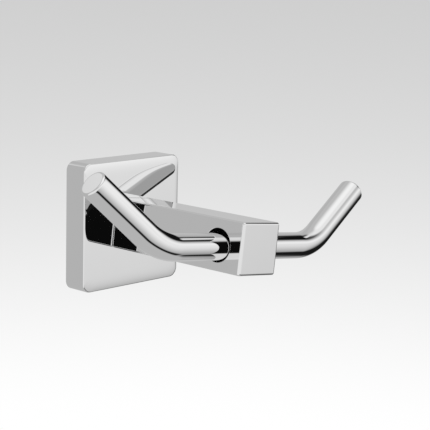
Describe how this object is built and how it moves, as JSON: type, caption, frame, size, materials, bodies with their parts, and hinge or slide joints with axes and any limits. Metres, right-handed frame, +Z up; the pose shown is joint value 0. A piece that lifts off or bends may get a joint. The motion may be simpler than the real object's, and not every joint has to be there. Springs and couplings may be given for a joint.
{
  "type": "clothes hook",
  "caption": "Wall-mounted clothes hook: a square hollow cover plate, a square arm, and a round cross rod with both ends bent up to hang garments on.",
  "frame": {"origin": "middle of the cover plate's back, on the wall plane, midway between the bracket's screw holes", "axes": "+X to the right seen from the room, +Y into the wall, +Z up; the arm reaches out along -Y"},
  "size_m": [0.144, 0.0775, 0.0571],
  "materials": {
    "polished_chrome": "bright chrome plate, polished",
    "bracket_metal": "plain cast metal, satin",
    "screw_steel": "plain steel"
  },
  "bodies": {
    "root": {"wall_plate": "polished_chrome", "arm": "polished_chrome", "hook_rod": "polished_chrome", "wall_bracket": "bracket_metal", "arm_screw": "screw_steel", "arm_washer": "screw_steel", "plate_grub_screw": "screw_steel", "rod_set_screw": "screw_steel"}
  },
  "joints": []
}
